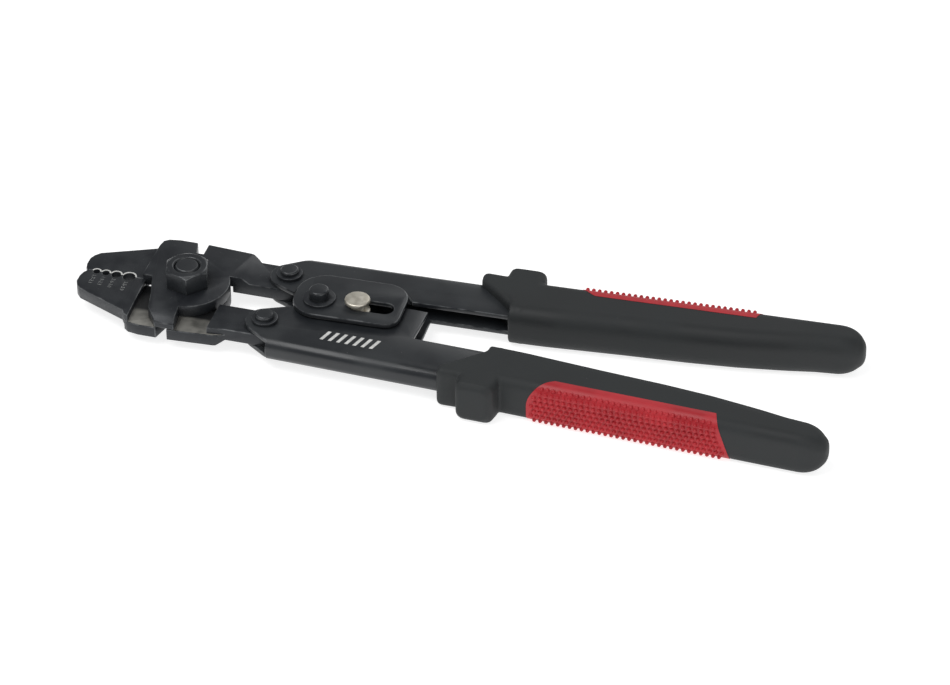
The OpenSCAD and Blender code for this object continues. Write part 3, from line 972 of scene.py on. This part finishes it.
@dataclass
class Studio:
    """Pale floor, soft lights and the camera."""

    target: Vector = field(default_factory=lambda: Vector((5.84, -1.33, 7.2)) * MM)
    azimuth: float = 16.797
    elevation: float = 36.484
    roll: float = -0.652
    distance: float = 1456.9 * MM
    focal_px: float = 4691.3
    sensor: float = 36.0

    def camera(self) -> None:
        """Sets up the camera."""
        az, el = math.radians(self.azimuth), math.radians(self.elevation)
        back = Vector((math.sin(az) * math.cos(el), -math.cos(az) * math.cos(el), math.sin(el)))
        data = bpy.data.cameras.new("camera")
        data.sensor_width = self.sensor
        data.lens = self.focal_px / FRAME_WIDTH_PX * self.sensor
        data.clip_start = 0.05
        camera = bpy.data.objects.new("camera", data)
        turn = back.to_track_quat("Z", "Y").to_matrix().to_4x4()
        spin = Matrix.Rotation(math.radians(self.roll), 4, "Z")
        camera.matrix_world = Matrix.Translation(self.target + back * self.distance) @ turn @ spin
        bpy.context.scene.collection.objects.link(camera)
        bpy.context.scene.camera = camera

    def floor(self) -> None:
        """A wide pale floor that glows a little, so that the tool stands on white."""
        Bench.clear()
        bpy.ops.mesh.primitive_plane_add(size=8)
        floor = bpy.context.object
        floor.name = floor.data.name = "floor"
        shader = Shader("pale_floor")
        shader.set(Base_Color=(0.5, 0.5, 0.5, 1), Roughness=0.9, Specular_IOR_Level=0.1)
        shader.set(Emission_Color=(1, 1, 1, 1), Emission_Strength=0.78)
        Bench.paint(floor, shader.material)

    def light(self, name: str, at: Sequence[float], power: float, size: float) -> None:
        """One soft square light that looks at the tool.

        Args:
            name: the light's name.
            at: its place in metres.
            power: its power in watts.
            size: the length of its side in metres.
        """
        data = bpy.data.lights.new(name, "AREA")
        data.energy = power
        data.size = size
        lamp = bpy.data.objects.new(name, data)
        lamp.location = at
        lamp.rotation_euler = Vector(at).to_track_quat("Z", "Y").to_euler()
        bpy.context.scene.collection.objects.link(lamp)

    def build(self) -> None:
        """Sets up camera, floor and lights."""
        self.camera()
        self.floor()
        self.light("key", (-0.5, -0.35, 1.25), 9.8, 0.9)
        self.light("fill", (0.9, -0.8, 0.9), 4.8, 1.1)
        self.light("rim", (0.2, 1.3, 0.75), 3.0, 0.8)
        world = bpy.data.worlds.new("studio")
        world.use_nodes = True
        background = world.node_tree.nodes["Background"]
        background.inputs["Color"].default_value = (0.97, 0.985, 1, 1)
        background.inputs["Strength"].default_value = 0.28
        bpy.context.scene.world = world
        bpy.context.scene.view_settings.view_transform = "Standard"
        log.info("studio ready")


SMALL_STEEL: tuple[SteelPiece, ...] = (
    SteelPiece("pivot_bolt", "lower_jaw", Surface.STEEL, 0.16 * MM),
    SteelPiece("pivot_nut", "lower_jaw", Surface.STEEL, 0.2 * MM, smooth=22.0),
    SteelPiece("upper_link_rivet", "upper_arm", Surface.STEEL, 0.12 * MM),
    SteelPiece("lower_link_rivet", "lower_arm", Surface.STEEL, 0.12 * MM),
    SteelPiece("upper_link_washers", "upper_arm", Surface.OXIDE, 0.12 * MM),
    SteelPiece("lower_link_washers", "lower_arm", Surface.OXIDE, 0.12 * MM),
    SteelPiece("centre_rivet", "lower_arm", Surface.STEEL, 0.14 * MM),
    SteelPiece("centre_washer", "lower_arm", Surface.OXIDE, 0.14 * MM),
    SteelPiece("centre_spacer", "lower_arm", Surface.OXIDE, 0.1 * MM),
    SteelPiece("centre_shims", "lower_arm", Surface.BRIGHT, 0.06 * MM, Surface.BRIGHT),
    SteelPiece("lock_stud", "lock", Surface.BRIGHT, 0.1 * MM, Surface.BRIGHT),
    SteelPiece("lock_washer", "lock", Surface.BRIGHT, 0.08 * MM, Surface.BRIGHT),
)


def main() -> None:
    """Builds the tool on its frame, in order."""
    logging.basicConfig(level=logging.INFO, format="%(message)s")
    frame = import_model()
    layout = Layout(frame)
    palette = Palette()
    Studio().build()
    JawPair().build(layout, palette)
    for side in ("upper", "lower"):
        handle = SteelPiece(f"{side}_handle", f"{side}_arm", Surface.STEEL, 0.3 * MM)
        handle.build(layout, palette)
        log.info("%s handle rounded", side)
    for piece in SMALL_STEEL:
        piece.build(layout, palette)
        log.info("%s rounded", piece.node)
    for upper in (True, False):
        Grip(upper).build(layout, palette)
        Insert(upper).build(layout, palette)
    PrintedMark().build(layout, palette)


if __name__ == "__main__":
    main()
